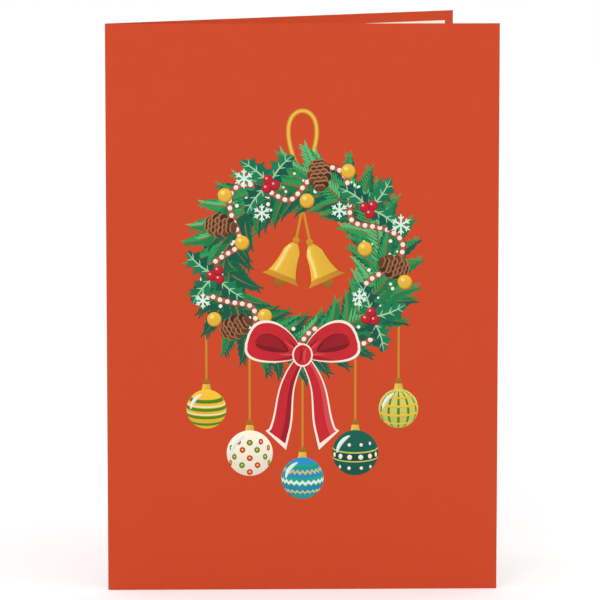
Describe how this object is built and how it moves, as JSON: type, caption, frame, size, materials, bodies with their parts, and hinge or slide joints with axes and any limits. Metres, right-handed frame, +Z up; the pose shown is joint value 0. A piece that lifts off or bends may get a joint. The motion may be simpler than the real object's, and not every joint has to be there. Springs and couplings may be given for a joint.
{
  "type": "pop up card",
  "caption": "Folded greeting card standing a little open, with a glued white liner and a slotted paper tree folded between its leaves.",
  "frame": {"origin": "on the floor, under the middle of the card's box", "axes": "+Z up along the crease, -Y out of the front leaf, crease at -X and free edges towards +X"},
  "size_m": [0.122, 0.053, 0.178],
  "materials": {
    "cover_card": "matte",
    "liner_paper": "matte",
    "tree_card": "matte",
    "star_card": "satin"
  },
  "bodies": {
    "root": {"cover": "cover_card", "liner": "liner_paper", "tree_slice_a1": "tree_card", "tree_slice_a2": "tree_card", "tree_slice_a3": "tree_card", "tree_slice_a4": "tree_card", "tree_slice_a5": "tree_card", "tree_slice_b1": "tree_card", "tree_slice_b2": "tree_card", "tree_slice_b3": "tree_card", "tree_slice_b4": "tree_card", "tree_slice_b5": "tree_card", "star_front": "star_card", "star_back": "star_card"}
  },
  "joints": []
}
